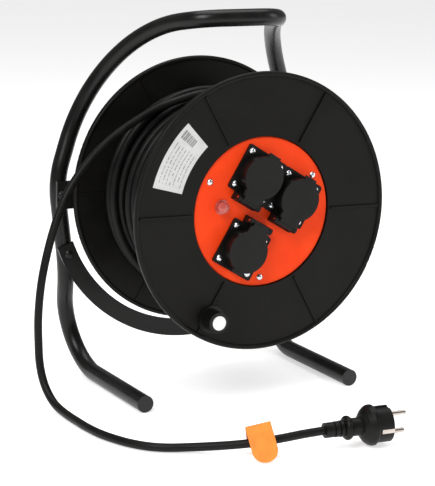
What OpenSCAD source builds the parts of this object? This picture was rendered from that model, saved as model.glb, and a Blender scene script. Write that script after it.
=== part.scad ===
// Extension cord reel on a bent tube stand.
// Millimetres, +Z up, sockets facing -Y, origin on the floor under the middle of the reel and its stand.

/* [Reel] */
// Diameter of both flanges
flange_d = 290; // [284:1:296]
// Width of the reel from rim to rim
reel_w = 158; // [156:1:160]
// Radial thickness of the rolled rim
rim_w = 5; // [4.6:0.1:5]
// Thickness of the flange web
web_t = 3; // [2.5:0.5:3.5]
// Depth of the web behind the rim's edge
web_recess = 2.5; // [2:0.5:3]
// Number of radial ribs on each flange
rib_count = 6; // [4:1:8]
// Outside diameter of the drum barrel
barrel_d = 160; // [158:1:162]
// Angle of the first rib, counted from +X
face_turn = 59; // [55:1:62]

/* [Face plate] */
// Diameter of the coloured socket plate
plate_d = 156; // [154:1:156]
// Depth of the plate's face behind the rim's edge
plate_depth = 4.5; // [4:0.5:5]
// Thickness of the socket plate
plate_t = 3; // [2.5:0.5:3.5]
// Side of a square socket flange
socket_side = 50; // [48:1:50]
// Distance between the fixing screws of a socket
screw_pitch = 38; // [37:1:39]
// How far the closed lids stand in front of the plate
lid_height = 17; // [16:0.5:18]
// Widest opening angle of a socket lid
lid_swing = 90; // [60:1:90]
// Travel of the reset button
reset_travel = 2.5; // [1.5:0.5:3]

/* [Winding knob] */
// Distance of the knob from the reel's axis
knob_r = 122; // [120:1:123]
// Angle of the knob, counted from +X
knob_angle = -118; // [-119:1:-117]
// Diameter of the turning grip
knob_d = 22; // [20:1:24]
// How far the knob stands in front of the rim
knob_reach = 17; // [15:1:19]

/* [Stand] */
// Outside diameter of the stand's tube
tube_d = 18; // [17:1:19]
// Wall thickness of the stand's tube
tube_wall = 1.5; // [1.2:0.1:2]
// Height of the reel's axis above the floor
axis_h = 204; // [202:1:206]
// Distance from the reel's axis to each foot
foot_x = 122.5; // [120:0.5:125]
// Height of the crossbar and of the axle's nut face
crossbar_h = 30; // [28:1:32]
// Outer radius of the curved brace
brace_r = 169; // [167:1:170]
// Radial width of the curved brace
brace_w = 19; // [17:1:20]

/* [Cord] */
// Diameter of the cord
cord_d = 8.5; // [8:0.1:8.8]
// Diameter of the plug's collar
collar_d = 40.5; // [39:0.5:41]

/* [Hidden] */
$fn = 96;

// ---- stand: corner points of the tube's centre line (x, behind the rim's edge, above the axis)
tube_r = tube_d / 2;
upright_back = 176;
foot_front = 19.5;
foot_up = tube_r - axis_h;
foot_back = 238;
foot_bend = 54;
stand_half = [
    [foot_x, foot_front, foot_up],
    [foot_x, foot_back, foot_up],
    [144, upright_back, -84],
    [156, upright_back, 14],
    [99, 197, 168],
    [46, 55, 194.5]
];
bend_half = [foot_bend, 100, 90, 145, 35];
// the lean of the tube just above the foot bend, and where the stand reaches furthest back
foot_lean = acos(unit(stand_half[1] - stand_half[2]) * [0, -1, 0]);
rear_reach = foot_back - foot_bend * tan(foot_lean / 2) + foot_bend + tube_r;
// the rim's front edge lies here, so that the origin is midway between front and back
front_y = -(rear_reach - knob_reach) / 2;

flange_r = flange_d / 2;
barrel_r = barrel_d / 2;
barrel_t = 2.8;
plate_r = plate_d / 2;
seat_r = plate_r + 0.5;
seat_wall = 2.8;
web_back = web_recess + web_t;
rim_depth = 7;
rib_w = 2.2;
rib_h = 2;
inner_rib_h = 1;
spigot_t = 3;
spigot_len = 14;
boss_r = 4.5;
ledge_in = 70;
seat_floor = plate_depth + plate_t + 2.5;
plate_screw_r = 69;
chamber_depth = 62;
hub_front = chamber_depth;
hub_r = 14;
hub_bore_r = 10.5;
axle_r = 8;
bush_gap = 0.05;
bar_t = 4;
brace_t = 3;
bar_back = upright_back - tube_r;
bolt_r = 3;
brace_half = 70;
bolt_spots = [[-154.5, 0], [154.5, 0], [-145.7, -64.9], [145.7, -64.9]];
hinge_off = 29.5;
hinge_z = 12;
pin_r = 1.25;
lid_r = 22;
lid_t = 3;
well_r = 19.75;
well_depth = 17.5;
collar_r = 21.3;
body_r = 21.5;
inlet_depth = 142;
inlet_turn = 179;
inlet_bend = 12;
inlet_r = 50;
cutout_u = -17;
cutout_v = 44;
cord_r = cord_d / 2;
// sockets as [along the first rib, across it, turn of the hinge side]
sockets = [[29.3, 25, -90], [29.3, -25, -90], [-44, 0, 90]];

// winding: outer shape of the wound cord, as [radius, depth behind the rim's edge]
wind_gap = 0.3;
wind_front = web_back + inner_rib_h + 0.2;
wind_rear = reel_w - web_back - inner_rib_h - 0.2;
wind_in = seat_r + seat_wall + 0.2;
wind_step = plate_depth + plate_t + 3;
wind_out = 105.8;
winding_outline = [
    [wind_in, wind_front],
    [wind_out, wind_front],
    [wind_out, 118],
    [107.5, 136],
    [112.4, 141],
    [112.4, wind_rear],
    [barrel_r, wind_rear],
    [barrel_r, wind_step],
    [wind_in, wind_step]
];

// free cord: from the top of the winding to the floor and round to the plug
route = [
    [19, 15.5, 313], [0, 15.5, 314.5], [-19, 15.5, 313], [-38, 15.5, 309], [-66, 14.5, 301], [-89, 13.5, 291],
    [-113, 11.5, 278], [-137, 8.5, 261.5], [-160, 4.5, 240], [-177, 1, 218], [-187, -1, 198],
    [-195, -3, 178], [-202, -4.5, 155], [-207.5, -6, 132], [-210.5, -6.5, 110], [-212, -7, 88],
    [-212, -8, 67], [-212, -10.5, 48], [-211, -16, 31.5], [-209, -24.5, 18.5], [-206.5, -37, 9],
    [-205, -54, 5.4], [-204.5, -72, 4.6], [-204, -92, 4.6], [-203, -112, 4.6], [-200, -135, 4.6],
    [-194, -156, 4.6], [-185.5, -175.5, 4.6], [-173.5, -192, 4.6], [-159, -203, 4.7], [-142, -211.5, 5.3],
    [-126, -221, 6.8], [-111, -232.5, 9.3], [-96, -243.5, 12.2], [-79, -251.5, 14.8],
    [-59, -255, 16.8], [-38, -256, 18.2], [-17.6, -258.4, 19.5]
];
plug_at = [-17.6, -258.4, 19.5];
plug_turn = -7;
plug_rise = 1.4;
pin_roll = 8;
tag_at = [-82, -250, 14.3];

// ---- helpers
function unit(v) = v / norm(v);

// children in the reel's own view: X right, Y up, Z towards the viewer, origin on the axis
module face(depth = 0, turn = 0)
    translate([0, front_y + depth, axis_h])
        rotate([90, 0, 0])
            rotate([0, 0, turn])
                children();

// children at one socket, with Y towards the lid's finger tab and Z = 0 on the plate
module at_socket(i)
    face(plate_depth, face_turn)
        translate([sockets[i][0], sockets[i][1], 0])
            rotate([0, 0, sockets[i][2]])
                children();

module each_socket()
    for (i = [0:2])
        at_socket(i)
            children();

// children at the four fixing screws of a socket
module screw_spots()
    for (x = [-0.5, 0.5], y = [-0.5, 0.5])
        translate([x * screw_pitch, y * screw_pitch, 0])
            children();

module ring(r_out, r_in, h)
    difference() {
        cylinder(r = r_out, h = h);
        translate([0, 0, -1])
            cylinder(r = r_in, h = h + 2);
    }

// a domed screw head standing on Z = 0 with its shank below
module dome_screw(head_r, head_h, shank_r, shank) {
    ball = (head_r * head_r + head_h * head_h) / (2 * head_h);
    intersection() {
        translate([0, 0, head_h - ball])
            sphere(r = ball);
        cylinder(r = head_r, h = head_h + 1);
    }
    translate([0, 0, -shank])
        cylinder(r = shank_r, h = shank + 0.2);
}

// one straight of the stand's tube from a to b
module pipe_straight(a, b, r) {
    d = b - a;
    turn_z = atan2(d[1], d[0]);
    turn_y = acos(d[2] / norm(d));
    translate(a)
        rotate([0, turn_y, turn_z])
            cylinder(r = r, h = norm(d));
}

// one bend of the stand's tube, from point a heading u and leaving along w
module pipe_bend(a, u, w, bend, r) {
    side = unit(w - (u * w) * u);
    up = cross(u, side);
    centre = a + bend * side;
    multmatrix([
        [-side[0], u[0], up[0], centre[0]],
        [-side[1], u[1], up[1], centre[1]],
        [-side[2], u[2], up[2], centre[2]],
        [0, 0, 0, 1]
    ])
        rotate_extrude(angle = acos(u * w))
            translate([bend, 0])
                circle(r = r);
}

function mirrored(list) = [for (i = [len(list) - 1:-1:0]) list[i]];
stand_points = concat(
    [for (p = stand_half) [-p[0], front_y + p[1], axis_h + p[2]]],
    [for (p = mirrored(stand_half)) [p[0], front_y + p[1], axis_h + p[2]]]
);
stand_bends = concat([0], bend_half, mirrored(bend_half), [0]);
last = len(stand_points) - 1;
function heading(i) = unit(stand_points[i + 1] - stand_points[i]);
function cut_back(i) =
    i == 0 || i == last ? 0 : stand_bends[i] * tan(acos(heading(i - 1) * heading(i)) / 2);

// the bends are drawn a hair slimmer than the straights, which reach a little way into them
module stand_path(r, past_end = 0) {
    for (i = [0:last - 1])
        pipe_straight(
            stand_points[i] + (cut_back(i) - (i == 0 ? past_end : 0.6)) * heading(i),
            stand_points[i + 1] - (cut_back(i + 1) - (i == last - 1 ? past_end : 0.6)) * heading(i),
            r
        );
    for (i = [1:last - 1])
        pipe_bend(
            stand_points[i] - cut_back(i) * heading(i - 1),
            heading(i - 1), heading(i), stand_bends[i], r - 0.04
        );
}

// ---- stand
module tube_frame()
    color([0.12, 0.12, 0.12])
        difference() {
            stand_path(tube_r);
            stand_path(tube_r - tube_wall, 1);
            for (spot = bolt_spots)
                face(bar_back + 5)
                    translate([spot[0], spot[1], 0])
                        cylinder(r = bolt_r + 0.1, h = 12);
        }

module foot_caps()
    color([0.2, 0.2, 0.2])
        for (side = [-1, 1])
            translate([side * foot_x, front_y + foot_front, tube_r])
                rotate([90, 0, 0]) {
                    cylinder(r = tube_r, h = 1.2);
                    translate([0, 0, -12])
                        cylinder(r = tube_r - tube_wall - 0.1, h = 12.5);
                }

module crossbar()
    color([0.13, 0.13, 0.13])
        face(bar_back)
            difference() {
                translate([-160, -crossbar_h / 2, 0])
                    cube([320, crossbar_h, bar_t]);
                translate([0, 0, -1])
                    cylinder(r = axle_r + 0.1, h = bar_t + 2);
                for (i = [0, 1])
                    translate([bolt_spots[i][0], bolt_spots[i][1], -1])
                        cylinder(r = bolt_r + 0.1, h = bar_t + 2);
            }

module lower_brace()
    color([0.13, 0.13, 0.13])
        face(bar_back)
            difference() {
                rotate([0, 0, 270 - brace_half])
                    rotate_extrude(angle = 2 * brace_half)
                        translate([brace_r - brace_w, 0])
                            square([brace_w, brace_t]);
                for (i = [2, 3])
                    translate([bolt_spots[i][0], bolt_spots[i][1], -1])
                        cylinder(r = bolt_r + 0.1, h = brace_t + 2);
            }

module frame_bolts()
    color([0.3, 0.3, 0.3])
        for (i = [0:3])
            face(bar_back - (i < 2 ? bar_t : brace_t))
                translate([bolt_spots[i][0], bolt_spots[i][1], 0])
                    dome_screw(4.8, 2.6, bolt_r, 8);

// ---- axle
module axle()
    color([0.75, 0.75, 0.75])
        face(bar_back + 14)
            cylinder(r = axle_r, h = bar_back + 14 - 54);

module axle_nut()
    color([0.7, 0.7, 0.7])
        face(bar_back + 9.8)
            difference() {
                cylinder(r = 13.8, h = 9.8, $fn = 6);
                translate([0, 0, -1])
                    cylinder(r = axle_r, h = 12);
            }

module axle_washers()
    color([0.8, 0.8, 0.8]) {
        face(bar_back - bar_t)
            ring(12.5, axle_r + 0.1, bar_back - bar_t - reel_w - 0.3);
        face(hub_front - 0.3)
            ring(13, axle_r + 0.1, 1.6);
    }

module axle_retainer()
    color([0.5, 0.5, 0.5])
        face(hub_front - 1.9)
            ring(11.5, axle_r, 1.5);

// ---- drum
// rounded rim, from the outer edge inwards over the given depth
module rim_profile() {
    nose = rim_w / 2;
    for (z = [nose, rim_depth - nose])
        translate([flange_r - nose, -z])
            circle(r = nose);
    translate([flange_r - rim_w, -(rim_depth - nose)])
        square([rim_w, rim_depth - rim_w]);
}

module radial_ribs(from_r, to_r, z, h)
    for (i = [0:rib_count - 1])
        rotate([0, 0, face_turn + i * 360 / rib_count])
            translate([from_r, -rib_w / 2, z])
                cube([to_r - from_r, rib_w, h]);

module front_flange()
    color([0.14, 0.14, 0.14])
        face() {
            difference() {
                rotate_extrude() {
                    rim_profile();
                    translate([seat_r + seat_wall, -web_back])
                        square([flange_r - rim_w / 2 - seat_r - seat_wall, web_t]);
                }
                at_knob_spot(-web_back - 1)
                    cylinder(r = 4.1, h = web_t + 2);
            }
            difference() {
                union() {
                    radial_ribs(seat_r + seat_wall + 0.4, flange_r - rim_w - 0.5, -web_recess - 0.1, rib_h + 0.1);
                    radial_ribs(seat_r + seat_wall + 0.4, flange_r - rim_w - 1, -web_back - inner_rib_h, inner_rib_h + 0.1);
                }
                at_knob_spot(-web_back - 5)
                    cylinder(r = 14.6, h = 12);
            }
        }

module at_knob_spot(z)
    rotate([0, 0, knob_angle])
        translate([knob_r, 0, z])
            children();

// ring that carries the face plate and plugs into the barrel
module plate_seat()
    color([0.14, 0.14, 0.14])
        face()
            difference() {
                union() {
                    rotate_extrude() {
                        translate([seat_r, -seat_floor])
                            square([seat_wall, seat_floor - web_recess]);
                        translate([ledge_in, -seat_floor])
                            square([seat_r - ledge_in + 1, 2.5]);
                        translate([barrel_r - barrel_t - spigot_t - 0.2, -seat_floor - 11])
                            square([spigot_t, 12]);
                    }
                    each_plate_screw(-seat_floor - 11)
                        cylinder(r = boss_r, h = 12.5);
                }
                each_plate_screw(-seat_floor - 12)
                    cylinder(r = 1.55, h = 16);
            }

module each_plate_screw(z)
    for (i = [0:2])
        rotate([0, 0, face_turn - 29 + i * 120])
            translate([plate_screw_r, 0, z])
                children();

module back_flange()
    color([0.14, 0.14, 0.14])
        face(reel_w)
            mirror([0, 0, 1])
                difference() {
                    union() {
                        rotate_extrude() {
                            rim_profile();
                            translate([hub_bore_r, -web_back])
                                square([flange_r - rim_w / 2 - hub_bore_r, web_t]);
                            translate([hub_bore_r, -(reel_w - hub_front)])
                                square([hub_r - hub_bore_r, reel_w - hub_front]);
                            translate([barrel_r + 2, -web_recess - 0.2])
                                square([2.2, rib_h]);
                        }
                        radial_ribs(hub_r - 1, flange_r - rim_w / 2, -web_recess - 0.1, rib_h + 0.1);
                        radial_ribs(barrel_r + 1, flange_r - rim_w - 1, -web_back - inner_rib_h, inner_rib_h + 0.1);
                    }
                    flange_screw_spots()
                        translate([0, 0, -web_back - 1])
                            cylinder(r = 2.2, h = web_t + 2);
                }

// six screws through the back flange into the barrel's end
module flange_screw_spots()
    for (i = [0:5])
        rotate([0, 0, face_turn + 30 + i * 60])
            translate([barrel_r - 7, 0, 0])
                children();

module barrel()
    color([0.15, 0.15, 0.15])
        difference() {
            union() {
                face(web_back + 5)
                    translate([0, 0, -(reel_w - 2 * web_back - 5.2)])
                        ring(barrel_r, barrel_r - barrel_t, reel_w - 2 * web_back - 5.2);
                face(reel_w - web_back - 0.2)
                    intersection() {
                        cylinder(r = barrel_r - 0.5, h = 16);
                        flange_screw_spots()
                            difference() {
                                cylinder(r = 5, h = 16);
                                translate([0, 0, -1])
                                    cylinder(r = 1.75, h = 15);
                            }
                    }
            }
            cord_inlet(cord_r + 3.1);
        }

// radial hole in the barrel for the cord's inner end
module cord_inlet(r)
    face(inlet_depth, inlet_turn)
        rotate([0, 90, 0])
            translate([0, 0, barrel_r - 12])
                cylinder(r = r, h = 20);

module flange_screws()
    color([0.75, 0.75, 0.75])
        face(reel_w)
            mirror([0, 0, 1])
                flange_screw_spots()
                    translate([0, 0, -web_recess])
                        dome_screw(4.2, 2.2, 1.7, 14);

module chamber_back()
    color([0.2, 0.2, 0.2])
        face(chamber_depth + 2.4)
            difference() {
                cylinder(r = barrel_r - barrel_t, h = 2.2);
                translate([0, 0, -1])
                    cylinder(r = hub_r, h = 5);
                rotate([0, 0, inlet_turn])
                    translate([inlet_r, 0, -1])
                        cylinder(r = 5, h = 5);
            }

module hub_bushes()
    color([0.85, 0.85, 0.8])
        for (depth = [hub_front + 16.2, reel_w - 0.2])
            face(depth)
                ring(hub_bore_r, axle_r + bush_gap, 16);

// ---- face plate
module socket_plate()
    color([0.9, 0.25, 0.08])
        face(plate_depth + plate_t)
            difference() {
                union() {
                    cylinder(r = plate_r, h = plate_t - 1);
                    translate([0, 0, plate_t - 1])
                        cylinder(r1 = plate_r, r2 = plate_r - 1, h = 1, $fn = 96);
                }
                translate([0, 0, -1])
                    rotate([0, 0, face_turn]) {
                        for (s = sockets)
                            translate([s[0], s[1], 0]) {
                                cylinder(r = body_r + 0.3, h = plate_t + 2);
                                screw_spots()
                                    cylinder(r = 1.6, h = plate_t + 2);
                            }
                        translate([cutout_u, cutout_v, 0])
                            cylinder(r = 6.7, h = plate_t + 2);
                        for (i = [0:2])
                            rotate([0, 0, i * 120 - 29])
                                translate([plate_screw_r, 0, 0])
                                    cylinder(r = 2, h = plate_t + 2);
                    }
            }

module plate_screws()
    color([0.8, 0.82, 0.85])
        face(plate_depth, face_turn)
            for (i = [0:2])
                rotate([0, 0, i * 120 - 29])
                    translate([plate_screw_r, 0, 0])
                        dome_screw(3.6, 2.2, 1.5, 14);

// rounded square plate on Z = 0
module rounded_plate(side, corner, h) {
    half = side / 2 - corner;
    translate([-side / 2, -half, 0])
        cube([side, 2 * half, h]);
    translate([-half, -side / 2, 0])
        cube([2 * half, side, h]);
    for (x = [-half, half], y = [-half, half])
        translate([x, y, 0])
            cylinder(r = corner, h = h);
}

module socket_shape() {
    top = lid_height - lid_t - 0.5;
    difference() {
        union() {
            rounded_plate(socket_side, 2.5, 2.5);
            cylinder(r = collar_r, h = top);
            translate([0, 0, -26])
                cylinder(r = body_r, h = 27);
            translate([-13, -9, -32])
                cube([26, 18, 7]);
            // hinge block with its two ears
            translate([-14.5, -hinge_off - 4, 0])
                cube([29, hinge_off + 4 - 19, 4]);
            for (x = [-14.5, 10.3])
                translate([x, -hinge_off - 3.4, 0])
                    cube([4.2, 6.8, hinge_z]);
            for (x = [-14.5, 10.3])
                translate([x, -hinge_off, hinge_z])
                    rotate([0, 90, 0])
                        cylinder(r = 3.4, h = 4.2);
        }
        translate([0, 0, top - well_depth])
            cylinder(r = well_r, h = well_depth + 1);
        for (x = [-9.5, 9.5])
            translate([x, 0, top - well_depth - 20])
                cylinder(r = 2.75, h = 21);
        for (y = [-1, 1])
            translate([-3.5, y * (well_r - 0.5) - 1.5, top - well_depth - 12])
                cube([7, 3, well_depth + 9]);
        screw_spots()
            translate([0, 0, -1])
                cylinder(r = 1.7, h = 5);
        translate([-16, -hinge_off, hinge_z])
            rotate([0, 90, 0])
                cylinder(r = pin_r, h = 32);
        // room for the lid's knuckle and neck
        translate([-10.3, -hinge_off - 5, 4])
            cube([20.6, 9.2, 12]);
    }
}

module socket_1()
    color([0.1, 0.1, 0.1])
        at_socket(0)
            socket_shape();

module socket_2()
    color([0.1, 0.1, 0.1])
        at_socket(1)
            socket_shape();

module socket_3()
    color([0.1, 0.1, 0.1])
        at_socket(2)
            socket_shape();

// pin receptacles and side earth clips of the three sockets
module socket_contacts()
    color([0.8, 0.65, 0.3])
        each_socket() {
            top = lid_height - lid_t - 0.5;
            for (x = [-9.5, 9.5])
                translate([x, 0, top - well_depth - 19.5])
                    ring(2.7, 2.35, 16);
            for (y = [-1, 1])
                translate([-3, y * (well_r - 0.6) - 0.5, top - well_depth - 8])
                    cube([6, 1, well_depth + 3]);
        }

module socket_screws()
    color([0.8, 0.82, 0.85])
        each_socket()
            screw_spots()
                translate([0, 0, 2.5])
                    dome_screw(3.4, 2.1, 1.5, 9);

module lid_shape() {
    base = lid_height - lid_t;
    difference() {
        union() {
            translate([0, 0, base])
                cylinder(r = lid_r, h = lid_t);
            translate([-9.8, -hinge_off + 0.5, base])
                cube([19.6, 6, lid_t]);
            translate([-12, -hinge_off + 4.6, base])
                cube([24, hinge_off - 19, lid_t]);
            translate([-7, lid_r - 2, base])
                cube([14, 5.5, lid_t - 0.8]);
            translate([-9.8, -hinge_off, hinge_z])
                rotate([0, 90, 0])
                    cylinder(r = 3.3, h = 19.6);
            translate([-9.8, -hinge_off, base - 1.2])
                cube([19.6, 4, 3.4]);
        }
        translate([-12, -hinge_off, hinge_z])
            rotate([0, 90, 0])
                cylinder(r = pin_r + bush_gap, h = 24);
        translate([-3.4, -hinge_off, hinge_z])
            rotate([0, 90, 0])
                cylinder(r = 2.8, h = 6.8);
    }
}

module lid_1()
    color([0.16, 0.16, 0.15])
        at_socket(0)
            lid_shape();

module lid_2()
    color([0.16, 0.16, 0.15])
        at_socket(1)
            lid_shape();

module lid_3()
    color([0.16, 0.16, 0.15])
        at_socket(2)
            lid_shape();

module lid_pins()
    color([0.8, 0.8, 0.8])
        each_socket()
            translate([-14.6, -hinge_off, hinge_z])
                rotate([0, 90, 0])
                    cylinder(r = pin_r, h = 29.2);

// closing springs, wound round the pins in the middle of each hinge
module lid_springs()
    color([0.6, 0.6, 0.6])
        each_socket()
            translate([-2.9, -hinge_off, hinge_z])
                rotate([0, 90, 0])
                    ring(2.3, pin_r, 5.8);

// ---- thermal cut-out
module at_cutout(z = 0)
    face(plate_depth, face_turn)
        translate([cutout_u, cutout_v, z])
            children();

module cutout_housing()
    color([0.85, 0.3, 0.25])
        at_cutout()
            difference() {
                union() {
                    cylinder(r = 7.6, h = 1.4);
                    translate([0, 0, -24])
                        cylinder(r = 6.5, h = 25);
                    translate([-3, -1, -31])
                        cube([6, 2, 8]);
                }
                translate([0, 0, -10])
                    cylinder(r = 4.6, h = 12);
            }

module reset_button()
    color([0.9, 0.45, 0.45])
        at_cutout() {
            translate([0, 0, -5])
                ring(4.5, 3.9, 4.5);
            translate([0, 0, -1])
                cylinder(r = 4.5, h = 3);
            translate([0, 0, 1.4 + reset_travel + 0.1])
                cylinder(r = 6.2, h = 2);
            translate([0, 0, 1.4])
                cylinder(r = 4.5, h = reset_travel + 0.2);
            translate([0, 0, 3.4 + reset_travel])
                dome_screw(6.2, 2, 4.5, 1);
        }

module reset_spring()
    color([0.7, 0.7, 0.7])
        at_cutout(-10)
            ring(3.5, 2.7, 6.2);

// ---- label, knob
module rating_label()
    color([0.9, 0.9, 0.88])
        face(web_recess, 132)
            rotate_extrude(angle = 33)
                translate([96, 0])
                    square([33.5, 0.3]);

module at_knob(z = 0)
    face(0, knob_angle)
        translate([knob_r, 0, z])
            children();

module knob_base()
    color([0.12, 0.12, 0.12])
        at_knob(-web_recess)
            ring(14.5, 4.1, 2.5);

module knob_pin()
    color([0.75, 0.75, 0.75])
        at_knob(-web_back - 2.5) {
            cylinder(r = 7, h = 2.4);
            cylinder(r = 4, h = web_back + 2.5 + knob_reach - 3);
        }

module winding_knob()
    color([0.1, 0.1, 0.1])
        at_knob(0.4)
            difference() {
                cylinder(r = knob_d / 2, h = knob_reach - 1);
                translate([0, 0, -1])
                    cylinder(r = 4 + bush_gap, h = knob_reach + 2);
                translate([0, 0, knob_reach - 4])
                    cylinder(r = 7.8, h = 5);
            }

module knob_cap()
    color([0.97, 0.97, 0.97])
        at_knob(knob_reach - 3)
            cylinder(r = 7.4, h = 3);

// ---- cord inside the drum
module cord_gland()
    color([0.1, 0.1, 0.1])
        intersection() {
            difference() {
                cord_inlet(cord_r + 3);
                cord_inlet(cord_r);
            }
            face(inlet_depth + 15)
                ring(barrel_r - 0.1, barrel_r - 8, 30);
        }

// the cord's inner end: in through the gland, along the drum and into the socket chamber
module inner_cord()
    color([0.08, 0.08, 0.08])
        face(0, inlet_turn) {
            bend_r = inlet_r + inlet_bend;
            translate([bend_r - 0.5, 0, -inlet_depth])
                rotate([0, 90, 0])
                    cylinder(r = cord_r, h = barrel_r - 0.2 - bend_r + 0.5);
            translate([bend_r, 0, -inlet_depth + inlet_bend])
                rotate([-90, 0, 0])
                    rotate([0, 0, 90])
                        rotate_extrude(angle = 90)
                            translate([inlet_bend, 0])
                                circle(r = cord_r - 0.03);
            translate([inlet_r, 0, -inlet_depth + inlet_bend - 0.5])
                cylinder(r = cord_r, h = inlet_depth - inlet_bend - chamber_depth - 0.2 + 0.5);
        }

module terminal_block()
    color([0.9, 0.9, 0.85])
        face(chamber_depth + 0.2, inlet_turn)
            translate([inlet_r - 8, -14, 0])
                cube([16, 28, 12]);

// leads from the terminal block to the three sockets and the cut-out
module inner_leads()
    color([0.45, 0.3, 0.15])
        for (i = [0:3]) {
            from = face_point(inlet_r, inlet_turn, chamber_depth - 11.4, lead_rows[i]);
            to = i < 3
                ? plate_point(sockets[i][0], sockets[i][1], 31.6)
                : plate_point(cutout_u, cutout_v, 30.6);
            pipe_straight(from, to, 1.4);
        }

lead_rows = [-9, 3, 9, -3];

// points in the reel's own view, moved a little across their own radius
function face_point(r, turn, depth, across) = [
    r * cos(turn) - across * sin(turn),
    front_y + depth,
    axis_h + r * sin(turn) + across * cos(turn)
];
function plate_point(u, v, depth) = [
    u * cos(face_turn) - v * sin(face_turn),
    front_y + plate_depth + depth,
    axis_h + u * sin(face_turn) + v * cos(face_turn)
];

module cord_winding()
    color([0.08, 0.08, 0.08])
        face()
            rotate_extrude()
                polygon([for (p = winding_outline) [p[0], -p[1]]]);

// ---- free cord, plug and tag
sides = 8;
ring_gap = 18;
// a smooth curve through the route's points (Catmull-Rom)
function knot(i) = route[max(0, min(len(route) - 1, i))];
function on_curve(i, t) =
    0.5 * (2 * knot(i) + (knot(i + 1) - knot(i - 1)) * t
        + (2 * knot(i - 1) - 5 * knot(i) + 4 * knot(i + 1) - knot(i + 2)) * t * t
        + (3 * knot(i) - knot(i - 1) - 3 * knot(i + 1) + knot(i + 2)) * t * t * t);
function slope(i, t) = unit(on_curve(i, t + 0.01) - on_curve(i, t - 0.01));
sweep_spots = concat(
    [for (i = [0:len(route) - 2], k = [0:norm(knot(i + 1) - knot(i)) > ring_gap ? 1 : 0])
        [i, k / (norm(knot(i + 1) - knot(i)) > ring_gap ? 2 : 1)]],
    [[len(route) - 2, 1]]
);
// a ring stands square to the cord, with its first corner towards the given side
function ring_at(centre, along, r) =
    let (a = unit(cross(along, [0.3, 1, 0.2])), b = cross(along, a))
    [for (k = [0:sides - 1]) centre + r * (cos(k * 360 / sides) * a + sin(k * 360 / sides) * b)];

module free_cord() {
    rings = [for (s = sweep_spots) ring_at(on_curve(s[0], s[1]), slope(s[0], s[1]), cord_r)];
    n = len(rings);
    color([0.08, 0.08, 0.08])
        polyhedron(
            points = [for (r = rings, p = r) p],
            faces = concat(
                [[for (k = [0:sides - 1]) k]],
                [[for (k = [sides - 1:-1:0]) (n - 1) * sides + k]],
                [for (i = [0:n - 2], k = [0:sides - 1])
                    [i * sides + k, (i + 1) * sides + k, (i + 1) * sides + (k + 1) % sides]],
                [for (i = [0:n - 2], k = [0:sides - 1])
                    [i * sides + k, (i + 1) * sides + (k + 1) % sides, i * sides + (k + 1) % sides]]
            ),
            convexity = 6
        );
}

// children at the plug, with Z along its pins and Y along the line between them
module at_plug(x = 0)
    translate(plug_at)
        rotate([0, -plug_rise, plug_turn])
            translate([x, 0, 0])
                rotate([pin_roll, 0, 0])
                    rotate([90, 0, 90])
                        children();

plug_pin_half = 9.5;
cap_r = 18;
cap_end = 67.6;
collar_r2 = collar_d / 2;
collar_outline = [
    [0, 37.6],
    [9.2, 37.6],
    [12.5, 39],
    [16.6, 42.2],
    [collar_r2 - 0.9, 45.6],
    [collar_r2, 48],
    [collar_r2, 50.6],
    [collar_r2 - 1.2, 52],
    [0, 52]
];
module plug_body()
    color([0.1, 0.1, 0.1])
        at_plug()
            difference() {
                union() {
                    rotate_extrude() {
                        translate([0, 0.05])
                            square([6.3, 42]);
                        translate([0, 0.5])
                            square([7.5, 8.5]);
                        translate([0, 10.6])
                            square([7.8, 4]);
                        translate([0, 16.2])
                            square([8.1, 3.5]);
                        translate([0, 20.5])
                            square([8, 8]);
                        translate([8, 24.5])
                            circle(r = 4);
                        translate([0, 28])
                            square([9, 11]);
                        polygon(collar_outline);
                    }
                    translate([0, 0, 48])
                        cylinder(r = cap_r, h = cap_end - 48);
                }
                for (y = [-1, 1]) {
                    translate([-3.4, y * (cap_r + 0.4) - 1.8, 53])
                        cube([6.8, 3.6, 20]);
                    translate([y * cap_r - 0.6, -2.1, 54.5])
                        cube([1.2, 4.2, 20]);
                    translate([0, y * plug_pin_half, 56])
                        cylinder(r = 2.4, h = 20);
                }
            }

module plug_pins()
    color([0.82, 0.8, 0.75])
        at_plug(56)
            for (y = [-1, 1])
                translate([0, y * plug_pin_half, 0]) {
                    cylinder(r = 2.4, h = 29.5);
                    translate([0, 0, 29.5])
                        cylinder(r = 1.6, h = 1);
                }

module plug_earths()
    color([0.85, 0.85, 0.82])
        at_plug(54.5)
            for (x = [-1, 1])
                translate([x * (cap_r - 0.2) - 0.4, -2.1, 0])
                    cube([0.8, 4.2, cap_end - 54.5]);

// folded card over the cord: a long front leaf and a short back leaf
module cord_tag()
    color([0.96, 0.6, 0.05])
        translate(tag_at)
            rotate([0, -12, -18]) {
                leaf(25, 39, 37);
                leaf(25, 35, -28);
            }

// one leaf hanging from the fold above the cord, leaning by the given angle
module leaf(w, len, lean)
    translate([-w / 2, 0, 18])
        rotate([90 - lean, 0, 0])
            mirror([0, 1, 0]) {
                translate([0, 0, -0.4])
                    cube([w, len - w / 2, 0.8]);
                translate([w / 2, len - w / 2, -0.4])
                    cylinder(r = w / 2, h = 0.8);
            }

tube_frame();
foot_caps();
crossbar();
lower_brace();
frame_bolts();
axle();
axle_nut();
axle_washers();
axle_retainer();
front_flange();
plate_seat();
back_flange();
barrel();
flange_screws();
chamber_back();
hub_bushes();
socket_plate();
plate_screws();
socket_1();
socket_2();
socket_3();
socket_contacts();
socket_screws();
lid_1();
lid_2();
lid_3();
lid_pins();
lid_springs();
cutout_housing();
reset_button();
reset_spring();
rating_label();
knob_base();
knob_pin();
knob_cap();
winding_knob();
cord_gland();
inner_cord();
terminal_block();
inner_leads();
cord_winding();
free_cord();
plug_body();
plug_pins();
plug_earths();
cord_tag();
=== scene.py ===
import math

import bmesh
import bpy
from mathutils import Matrix, Vector


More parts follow.
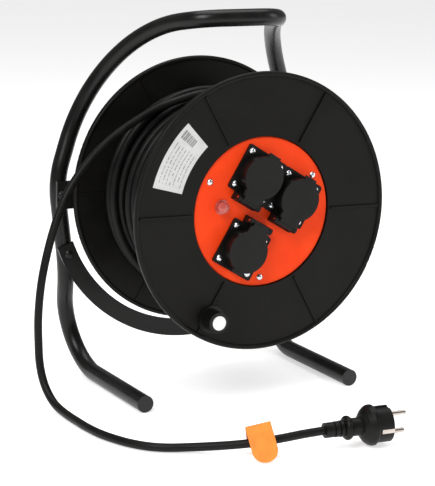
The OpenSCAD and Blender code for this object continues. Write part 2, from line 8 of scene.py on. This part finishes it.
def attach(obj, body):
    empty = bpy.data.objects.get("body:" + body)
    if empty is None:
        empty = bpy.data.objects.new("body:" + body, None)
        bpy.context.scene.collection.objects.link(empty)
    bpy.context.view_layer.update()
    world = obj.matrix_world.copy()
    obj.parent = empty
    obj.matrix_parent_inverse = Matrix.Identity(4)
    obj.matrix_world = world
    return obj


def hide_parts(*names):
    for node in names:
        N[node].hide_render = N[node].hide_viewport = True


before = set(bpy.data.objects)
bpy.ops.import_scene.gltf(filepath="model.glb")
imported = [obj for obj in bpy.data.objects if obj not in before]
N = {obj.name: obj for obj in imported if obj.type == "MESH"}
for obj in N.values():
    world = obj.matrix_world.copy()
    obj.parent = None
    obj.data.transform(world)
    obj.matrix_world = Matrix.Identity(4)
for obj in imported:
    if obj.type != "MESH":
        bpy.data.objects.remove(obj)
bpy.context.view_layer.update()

MM = 0.001
FRONT_Y = -96.4
AXIS_H = 204.0


# ---------------------------------------------------------------- materials
def node_tree(name):
    m = bpy.data.materials.new(name)
    m.use_nodes = True
    t = m.node_tree
    return m, t, t.nodes["Principled BSDF"]


def add(t, kind, **values):
    n = t.nodes.new(kind)
    for k, v in values.items():
        setattr(n, k, v)
    return n


def noise(t, scale, detail=4.0, rough=0.6, coords=None):
    n = add(t, "ShaderNodeTexNoise")
    n.inputs["Scale"].default_value = scale
    n.inputs["Detail"].default_value = detail
    n.inputs["Roughness"].default_value = rough
    if coords is not None:
        t.links.new(coords, n.inputs["Vector"])
    return n


def ramp(t, source, low, high, out_low, out_high):
    r = add(t, "ShaderNodeMapRange")
    r.inputs["From Min"].default_value = low
    r.inputs["From Max"].default_value = high
    r.inputs["To Min"].default_value = out_low
    r.inputs["To Max"].default_value = out_high
    t.links.new(source, r.inputs["Value"])
    return r.outputs["Result"]


def mix(t, fac, a, b):
    m = add(t, "ShaderNodeMix", data_type="RGBA")
    for sock, v in (("A", a), ("B", b)):
        s = [i for i in m.inputs if i.name == sock and i.type == "RGBA"][0]
        if isinstance(v, tuple):
            s.default_value = (*v, 1.0)
        else:
            t.links.new(v, s)
    f = [i for i in m.inputs if i.name == "Factor" and i.type == "VALUE"][0]
    if isinstance(fac, float):
        f.default_value = fac
    else:
        t.links.new(fac, f)
    return [o for o in m.outputs if o.type == "RGBA"][0]


def bump(t, p, height, strength, distance):
    b = add(t, "ShaderNodeBump")
    b.inputs["Strength"].default_value = strength
    b.inputs["Distance"].default_value = distance
    t.links.new(height, b.inputs["Height"])
    t.links.new(b.outputs["Normal"], p.inputs["Normal"])
    return b


def coords(t):
    return add(t, "ShaderNodeTexCoord").outputs["Object"]


def surface(
    name,
    dark,
    light,
    rough,
    spread=0.08,
    metal=0.0,
    grain=900.0,
    grain_depth=0.00004,
    blotch=45.0,
    spec=0.5,
    coat=0.0,
    scratch=0.0,
):
    """A slightly uneven surface: two shades in soft blotches, uneven gloss and a fine grain."""
    m, t, p = node_tree(name)
    c = coords(t)
    big = noise(t, blotch, 5.0, 0.55, c)
    fine = noise(t, grain, 3.0, 0.6, c)
    col = mix(t, ramp(t, big.outputs["Fac"], 0.35, 0.65, 0.0, 1.0), dark, light)
    t.links.new(col, p.inputs["Base Color"])
    r = ramp(t, big.outputs["Fac"], 0.3, 0.7, rough - spread, rough + spread)
    t.links.new(r, p.inputs["Roughness"])
    p.inputs["Metallic"].default_value = metal
    p.inputs["Specular IOR Level"].default_value = spec
    p.inputs["Coat Weight"].default_value = coat
    p.inputs["Coat Roughness"].default_value = 0.12
    height = fine.outputs["Fac"]
    if scratch:
        stretch = add(t, "ShaderNodeMapping")
        stretch.inputs["Scale"].default_value = (1.0, 1.0, 14.0)
        t.links.new(c, stretch.inputs["Vector"])
        lines = noise(t, 260.0, 2.0, 0.5, stretch.outputs["Vector"])
        both = add(t, "ShaderNodeMath", operation="MULTIPLY_ADD")
        both.inputs[1].default_value = scratch
        t.links.new(lines.outputs["Fac"], both.inputs[0])
        t.links.new(fine.outputs["Fac"], both.inputs[2])
        height = both.outputs["Value"]
    bump(t, p, height, 0.6, grain_depth)
    return m


MAT = {
    "coat": surface(
        "powder coat", (0.0045, 0.0045, 0.0042), (0.0072, 0.0071, 0.0065),
        0.3, 0.05, grain=2600.0, grain_depth=0.00003, spec=0.26,
    ),
    "flange": surface(
        "flange plastic", (0.0045, 0.0043, 0.0036), (0.0066, 0.0064, 0.0054),
        0.43, 0.06, grain=3200.0, grain_depth=0.00003, blotch=28.0, spec=0.14,
    ),
    "socket": surface(
        "socket plastic", (0.0045, 0.0045, 0.0042), (0.007, 0.0069, 0.0063),
        0.38, 0.05, grain=2400.0, spec=0.15,
    ),
    "lid": surface(
        "lid plastic", (0.0062, 0.0061, 0.0056), (0.009, 0.0089, 0.0082),
        0.38, 0.05, grain=2600.0, spec=0.18,
    ),
    "knob": surface(
        "knob plastic", (0.0042, 0.0042, 0.004), (0.0065, 0.0064, 0.006),
        0.32, 0.05, grain=1800.0, spec=0.25,
    ),
    "cap": surface(
        "foot cap plastic", (0.011, 0.011, 0.011), (0.017, 0.017, 0.0163),
        0.48, 0.06, spec=0.35,
    ),
    "orange": surface(
        "orange plate", (0.86, 0.05, 0.0055), (0.94, 0.064, 0.008),
        0.42, 0.06, grain=1500.0, grain_depth=0.00002, blotch=30.0, spec=0.12,
    ),
    "white": surface(
        "white cap", (0.80, 0.80, 0.79), (0.88, 0.88, 0.87),
        0.28, 0.05, coat=0.3, grain=700.0, grain_depth=0.00001,
    ),
    "zinc": surface(
        "zinc", (0.62, 0.64, 0.67), (0.80, 0.82, 0.84),
        0.22, 0.08, metal=1.0, grain=700.0, grain_depth=0.00002, scratch=0.5,
    ),
    "nickel": surface(
        "nickel", (0.50, 0.44, 0.40), (0.66, 0.60, 0.55),
        0.22, 0.05, metal=1.0, grain=500.0, grain_depth=0.00001, scratch=0.3,
    ),
    "brass": surface(
        "brass", (0.62, 0.42, 0.16), (0.75, 0.55, 0.25),
        0.3, 0.08, metal=1.0,
    ),
    "nylon": surface(
        "nylon", (0.62, 0.60, 0.52), (0.70, 0.68, 0.6),
        0.5, 0.06,
    ),
    "core": surface(
        "cores", (0.16, 0.06, 0.02), (0.22, 0.09, 0.03),
        0.4, 0.05,
    ),
    "rubber": surface(
        "rubber", (0.0042, 0.0042, 0.0039), (0.0075, 0.0074, 0.0068),
        0.45, 0.07, grain=1500.0, grain_depth=0.00006, blotch=60.0, spec=0.18,
    ),
    "plug": surface(
        "plug rubber", (0.0045, 0.0045, 0.0042), (0.0075, 0.0074, 0.0068),
        0.42, 0.06, grain=1900.0, grain_depth=0.00004, blotch=80.0, spec=0.18,
    ),
}


def boot_material():
    m, t, p = node_tree("reset boot")
    c = coords(t)
    n = noise(t, 150.0, 4.0, 0.6, c)
    col = mix(t, ramp(t, n.outputs["Fac"], 0.35, 0.65, 0.0, 1.0), (0.60, 0.07, 0.055), (0.76, 0.16, 0.13))
    t.links.new(col, p.inputs["Base Color"])
    t.links.new(ramp(t, n.outputs["Fac"], 0.3, 0.7, 0.12, 0.25), p.inputs["Roughness"])
    p.inputs["Transmission Weight"].default_value = 0.25
    p.inputs["Subsurface Weight"].default_value = 0.2
    p.inputs["Subsurface Radius"].default_value = (0.004, 0.002, 0.002)
    p.inputs["Coat Weight"].default_value = 0.4
    bump(t, p, noise(t, 600.0, 2.0, 0.5, c).outputs["Fac"], 0.3, 0.00003)
    return m


MAT["boot"] = boot_material()

USE = {
    "tube_frame": "coat", "crossbar": "coat", "lower_brace": "coat", "frame_bolts": "coat",
    "foot_caps": "cap", "axle": "zinc", "axle_nut": "zinc", "axle_washers": "zinc",
    "axle_retainer": "zinc", "front_flange": "flange", "plate_seat": "flange",
    "back_flange": "flange", "barrel": "flange", "chamber_back": "flange", "flange_screws": "zinc",
    "hub_bushes": "nylon", "socket_plate": "orange", "plate_screws": "zinc", "socket_1": "socket",
    "socket_2": "socket", "socket_3": "socket", "socket_contacts": "brass", "socket_screws": "zinc",
    "lid_1": "lid", "lid_2": "lid", "lid_3": "lid", "lid_pins": "zinc", "lid_springs": "zinc",
    "cutout_housing": "boot", "reset_button": "boot", "reset_spring": "zinc", "knob_base": "knob",
    "knob_pin": "zinc", "knob_cap": "white", "winding_knob": "knob", "cord_gland": "rubber",
    "inner_cord": "rubber", "terminal_block": "nylon", "inner_leads": "core", "plug_body": "plug",
    "plug_pins": "nickel", "plug_earths": "nickel",
}


def smooth(mesh, degrees=32.0):
    for poly in mesh.polygons:
        poly.use_smooth = True
    mesh.set_sharp_from_angle(angle=math.radians(degrees))


for name, key in USE.items():
    o = N[name]
    o.data.materials.clear()
    o.data.materials.append(MAT[key])
    smooth(o.data)


# ---------------------------------------------------------------- mesh helpers
def mesh_object(name, verts, faces, material, smooth_angle=32.0):
    me = bpy.data.meshes.new(name)
    me.from_pydata([Vector(v) * MM for v in verts], [], faces)
    me.update()
    me.materials.append(material)
    bm = bmesh.new()
    bm.from_mesh(me)
    bmesh.ops.recalc_face_normals(bm, faces=bm.faces)
    bm.to_mesh(me)
    bm.free()
    smooth(me, smooth_angle)
    o = bpy.data.objects.new(name, me)
    bpy.context.scene.collection.objects.link(o)
    return o


def tube(points, radius, sides):
    """A tube of quads round the points, with rings that don't twist, and closed ends."""
    pts = [Vector(p) for p in points]
    last = len(pts) - 1
    tangents = [(pts[min(i + 1, last)] - pts[max(i - 1, 0)]).normalized() for i in range(len(pts))]
    side = tangents[0].orthogonal().normalized()
    verts, faces = [], []
    for p, d in zip(pts, tangents):
        side = (side - d * side.dot(d)).normalized()
        up = d.cross(side)
        for k in range(sides):
            a = 2 * math.pi * k / sides
            verts.append(p + radius * (math.cos(a) * side + math.sin(a) * up))
    for i in range(last):
        for k in range(sides):
            a, b = i * sides + k, i * sides + (k + 1) % sides
            faces.append((a, b, b + sides, a + sides))
    faces.append(tuple(range(sides - 1, -1, -1)))
    faces.append(tuple(last * sides + k for k in range(sides)))
    return verts, faces


def catmull(points, step):
    """Points about one step apart on a smooth curve through the given ones."""
    p = [Vector(q) for q in points]
    out = []
    for i in range(len(p) - 1):
        a, b, c, d = p[max(i - 1, 0)], p[i], p[i + 1], p[min(i + 2, len(p) - 1)]
        n = max(1, round((c - b).length / step))
        for k in range(n):
            t = k / n
            out.append(0.5 * (2 * b + (c - a) * t + (2 * a - 5 * b + 4 * c - d) * t * t
                              + (3 * b - a - 3 * c + d) * t ** 3))
    out.append(p[-1])
    return out


def polar(r, degrees, depth):
    """A point at that radius and angle in the reel's own view, that far behind the front rim."""
    a = math.radians(degrees)
    return Vector((r * math.cos(a), FRONT_Y + depth, AXIS_H + r * math.sin(a)))


# ---------------------------------------------------------------- free cord
CORD_R = 4.25
ROUTE = [
    (19, 15.5, 313), (0, 15.5, 314.5), (-19, 15.5, 313), (-38, 15.5, 309), (-66, 14.5, 301), (-89, 13.5, 291),
    (-113, 11.5, 278), (-137, 8.5, 261.5), (-160, 4.5, 240), (-177, 1, 218), (-187, -1, 198),
    (-195, -3, 178), (-202, -4.5, 155), (-207.5, -6, 132), (-210.5, -6.5, 110), (-212, -7, 88),
    (-212, -8, 67), (-212, -10.5, 48), (-211, -16, 31.5), (-209, -24.5, 18.5), (-206.5, -37, 9),
    (-205, -54, 5.4), (-204.5, -72, 4.6), (-204, -92, 4.6), (-203, -112, 4.6), (-200, -135, 4.6),
    (-194, -156, 4.6), (-185.5, -175.5, 4.6), (-173.5, -192, 4.6), (-159, -203, 4.7), (-142, -211.5, 5.3),
    (-126, -221, 6.8), (-111, -232.5, 9.3), (-96, -243.5, 12.2), (-79, -251.5, 14.8),
    (-59, -255, 16.8), (-38, -256, 18.2), (-17.6, -258.4, 19.5),
]
line = catmull(ROUTE, 2.5)
v, f = tube(line, CORD_R, 18)
free = mesh_object("free_cord_line", v, f, MAT["rubber"], 60)
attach(free, "stand")
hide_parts("free_cord")

# ---------------------------------------------------------------- camera
SENSOR = 36.0
LENS = 139.15
CAMERA_AT = Vector((-0.92349, -1.7489, 0.56934))
CAMERA_RIGHT = Vector((0.88639, -0.4626, 0.01934))
CAMERA_AHEAD = Vector((0.45630, 0.8657, -0.2060))

cam_data = bpy.data.cameras.new("camera")
cam = bpy.data.objects.new("camera", cam_data)
bpy.context.scene.collection.objects.link(cam)
cam_data.sensor_width = SENSOR
cam_data.lens = LENS
cam_data.clip_start = 0.05
cam_data.clip_end = 50.0
right = CAMERA_RIGHT.normalized()
ahead = CAMERA_AHEAD.normalized()
upward = right.cross(ahead).normalized()
ahead = upward.cross(right).normalized()
m = Matrix.Identity(4)
for r in range(3):
    m[r][0], m[r][1], m[r][2] = right[r], upward[r], -ahead[r]
m.translation = CAMERA_AT
cam.matrix_world = m
bpy.context.scene.camera = cam

# ---------------------------------------------------------------- winding
# state of the winding each time it passes the place where the free cord leaves it: depth and radius
PITCH = 8.8
LAYER_TURNS = 16
KEYS = [(15.0 + PITCH * k, 84.35) for k in range(LAYER_TURNS)]
KEYS += [(147.0 - PITCH * k, 92.9) for k in range(LAYER_TURNS)]
KEYS += [(12.0, 101.0), (26.0, 101.4), (39.5, 101.2), (53.0, 101.5), (66.5, 101.2),
         (80.0, 101.4), (93.0, 101.0),
         (106.0, 100.9), (121.0, 102.2), (135.0, 104.7), (146.2, 107.7), (130.5, 111.2), (111.9, 110.6)]
LEAVE = math.degrees(math.atan2(313 - AXIS_H, 19))
STEPS = 72
turns = []
for k in range(len(KEYS) - 1):
    (d0, r0), (d1, r1) = KEYS[k], KEYS[k + 1]
    for j in range(STEPS):
        t = j / STEPS
        # a turn runs level and then steps over, as wound cord does
        s = t * t * (3 - 2 * t) * 0.6 + t * 0.4
        d = d0 + (d1 - d0) * s
        r = r0 + (r1 - r0) * s
        if 2 * LAYER_TURNS - 1 < k < len(KEYS) - 3:
            d += 1.1 * math.sin(2 * math.pi * (2 * t + 0.37 * k)) * math.sin(math.pi * t)
        turns.append(polar(r, LEAVE - 360.0 * (len(KEYS) - 1 - k - t), d))
turns.append(polar(KEYS[-1][1], LEAVE, KEYS[-1][0]))
v, f = tube(turns, CORD_R, 12)
winding = mesh_object("wound_cord", v, f, MAT["rubber"], 60)
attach(winding, "drum")
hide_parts("cord_winding")


# ---------------------------------------------------------------- label
# radii in metres from the reel's axis and angles in degrees round it, for the bars and the small print
BARS_R = (0.108, 0.126)
BARS_A = (134.5, 139.0)
PRINT_R = (0.1, 0.1265)
PRINT_A = (141.5, 162.0)
ROW_PITCH = 0.004
ROW_SHARE = 0.3
PRINT_INK = 0.55

def label_material():
    m, t, p = node_tree("rating label")
    c = coords(t)
    sep = add(t, "ShaderNodeSeparateXYZ")
    t.links.new(c, sep.inputs["Vector"])
    z = add(t, "ShaderNodeMath", operation="SUBTRACT")
    t.links.new(sep.outputs["Z"], z.inputs[0])
    z.inputs[1].default_value = AXIS_H * MM

    def math_node(op, a, b=None):
        n = add(t, "ShaderNodeMath", operation=op)
        for i, q in enumerate((a, b)):
            if q is None:
                continue
            if isinstance(q, float):
                n.inputs[i].default_value = q
            else:
                t.links.new(q, n.inputs[i])
        return n.outputs["Value"]

    x, zz = sep.outputs["X"], z.outputs["Value"]
    radius = math_node("SQRT", math_node("ADD", math_node("MULTIPLY", x, x), math_node("MULTIPLY", zz, zz)))
    angle = math_node("MULTIPLY", math_node("ARCTAN2", zz, x), 180 / math.pi)

    def band(value, low, high):
        return math_node("MULTIPLY", math_node("GREATER_THAN", value, low), math_node("LESS_THAN", value, high))

    # bars near the upper end, with widths from a one-dimensional noise along the radius
    bars = add(t, "ShaderNodeTexNoise", noise_dimensions="1D")
    bars.inputs["Scale"].default_value = 1500.0
    bars.inputs["Detail"].default_value = 0.0
    t.links.new(radius, bars.inputs["W"])
    stripes = math_node("GREATER_THAN", bars.outputs["Fac"], 0.5)
    bars_here = math_node("MULTIPLY", band(radius, *BARS_R), band(angle, *BARS_A))
    code = math_node("MULTIPLY", stripes, bars_here)
    # rows of short marks that stand for small print
    rows = math_node("LESS_THAN", math_node("FRACT", math_node("MULTIPLY", radius, 1 / ROW_PITCH)), ROW_SHARE)
    words = add(t, "ShaderNodeTexNoise", noise_dimensions="2D")
    words.inputs["Scale"].default_value = 620.0
    words.inputs["Detail"].default_value = 1.0
    both = add(t, "ShaderNodeCombineXYZ")
    t.links.new(math_node("MULTIPLY", angle, 0.0022), both.inputs["X"])
    t.links.new(math_node("SNAP", radius, ROW_PITCH), both.inputs["Y"])
    t.links.new(both.outputs["Vector"], words.inputs["Vector"])
    print_marks = math_node("MULTIPLY", math_node("GREATER_THAN", words.outputs["Fac"], 0.46), rows)
    print_here = math_node("MULTIPLY", band(radius, *PRINT_R), band(angle, *PRINT_A))
    small = math_node("MULTIPLY", print_marks, print_here)
    ink = math_node("MAXIMUM", code, math_node("MULTIPLY", small, PRINT_INK))
    n = noise(t, 60.0, 4.0, 0.5, c)
    paper = mix(t, ramp(t, n.outputs["Fac"], 0.3, 0.7, 0.0, 1.0), (0.54, 0.54, 0.53), (0.63, 0.63, 0.62))
    col = mix(t, ink, paper, (0.03, 0.03, 0.03))
    t.links.new(col, p.inputs["Base Color"])
    t.links.new(ramp(t, n.outputs["Fac"], 0.3, 0.7, 0.25, 0.36), p.inputs["Roughness"])
    bump(t, p, noise(t, 900.0, 2.0, 0.5, c).outputs["Fac"], 0.3, 0.00001)
    return m


N["rating_label"].data.materials.clear()
N["rating_label"].data.materials.append(label_material())
smooth(N["rating_label"].data)


# ---------------------------------------------------------------- tag
def tag_material():
    m, t, p = node_tree("tag card")
    c = coords(t)
    n = noise(t, 70.0, 5.0, 0.6, c)
    col = mix(t, ramp(t, n.outputs["Fac"], 0.35, 0.65, 0.0, 1.0), (0.86, 0.225, 0.006), (0.93, 0.285, 0.009))
    t.links.new(col, p.inputs["Base Color"])
    t.links.new(ramp(t, n.outputs["Fac"], 0.3, 0.7, 0.3, 0.42), p.inputs["Roughness"])
    bump(t, p, noise(t, 1400.0, 3.0, 0.6, c).outputs["Fac"], 0.4, 0.00003)
    return m


MAT["tag"] = tag_material()
N["cord_tag"].data.materials.clear()
N["cord_tag"].data.materials.append(MAT["tag"])
smooth(N["cord_tag"].data)

# ---------------------------------------------------------------- floor, light
FLOOR_GLOW = 0.6
BACKDROP_LIGHT = 0.25
floor_mat, ft, fp = node_tree("floor")
fn = noise(ft, 3.0, 3.0, 0.5, coords(ft))
ft.links.new(mix(ft, fn.outputs["Fac"], (0.88, 0.88, 0.88), (0.92, 0.92, 0.92)), fp.inputs["Base Color"])
fp.inputs["Roughness"].default_value = 0.75
fp.inputs["Emission Color"].default_value = (1.0, 1.0, 1.0, 1.0)
fp.inputs["Emission Strength"].default_value = FLOOR_GLOW
FLOOR_HALF = 9.0
FLOOR_Z = -0.0004
CORNERS = [(-1, -1), (1, -1), (1, 1), (-1, 1)]
me = bpy.data.meshes.new("floor")
me.from_pydata([(x * FLOOR_HALF, y * FLOOR_HALF, FLOOR_Z) for x, y in CORNERS], [], [(0, 1, 2, 3)])
me.materials.append(floor_mat)
floor = bpy.data.objects.new("floor", me)
bpy.context.scene.collection.objects.link(floor)

world = bpy.data.worlds.new("world")
bpy.context.scene.world = world
world.use_nodes = True
wt = world.node_tree
# the backdrop is white where it's seen, and gives a dimmer light so that the blacks stay black
wt.nodes["Background"].inputs["Color"].default_value = (1.0, 1.0, 1.0, 1.0)
seen = add(wt, "ShaderNodeLightPath").outputs["Is Camera Ray"]
wt.links.new(ramp(wt, seen, 0.0, 1.0, BACKDROP_LIGHT, 1.0), wt.nodes["Background"].inputs["Strength"])


def area(name, where, target, size_x, size_y, power):
    d = bpy.data.lights.new(name, "AREA")
    d.shape = "RECTANGLE"
    d.size, d.size_y, d.energy = size_x, size_y, power
    o = bpy.data.objects.new(name, d)
    bpy.context.scene.collection.objects.link(o)
    o.location = where
    o.rotation_euler = (Vector(target) - Vector(where)).to_track_quat("-Z", "Y").to_euler()
    return o


AIM = (0, 0, 0.2)
area("key", (-1.5, -1.3, 1.9), AIM, 1.1, 1.1, 38)
area("top", (0.3, 0.3, 2.3), AIM, 1.8, 1.8, 28)
area("right", (1.9, -1.0, 0.9), AIM, 0.6, 1.3, 11)

scene = bpy.context.scene
scene.view_settings.view_transform = "Standard"
